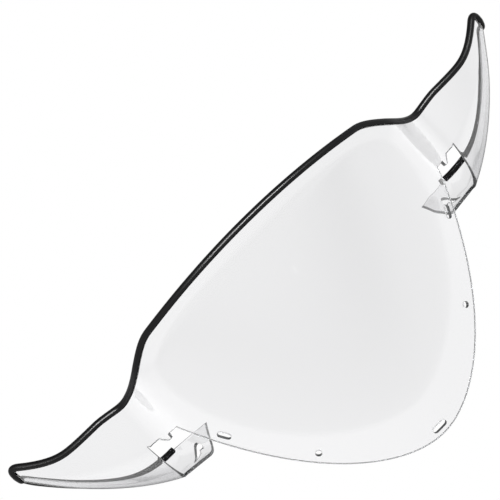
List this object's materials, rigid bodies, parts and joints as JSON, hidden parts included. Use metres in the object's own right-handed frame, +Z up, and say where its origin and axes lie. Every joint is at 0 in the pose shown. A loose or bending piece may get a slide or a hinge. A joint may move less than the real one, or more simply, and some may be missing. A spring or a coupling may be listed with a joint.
{
  "type": "motorcycle windshield screen",
  "caption": "Clear bulged windshield screen with curled-back wings, folded mounting tabs, slotted lower flange and a black rubber edge trim.",
  "frame": {"origin": "centre of the lower middle slot, on the sheet's front face", "axes": "+Z up, -Y towards the front of the vehicle, +X to the right seen from the front; the screen leans back 35 degrees"},
  "size_m": [0.7892, 0.248, 0.3352],
  "materials": {
    "clear_acrylic": "clear, polished",
    "black_rubber": "extruded, satin",
    "trim_adhesive": "cured adhesive"
  },
  "bodies": {
    "root": {"screen": "clear_acrylic", "edge_trim": "black_rubber", "trim_adhesive": "trim_adhesive"}
  },
  "joints": []
}
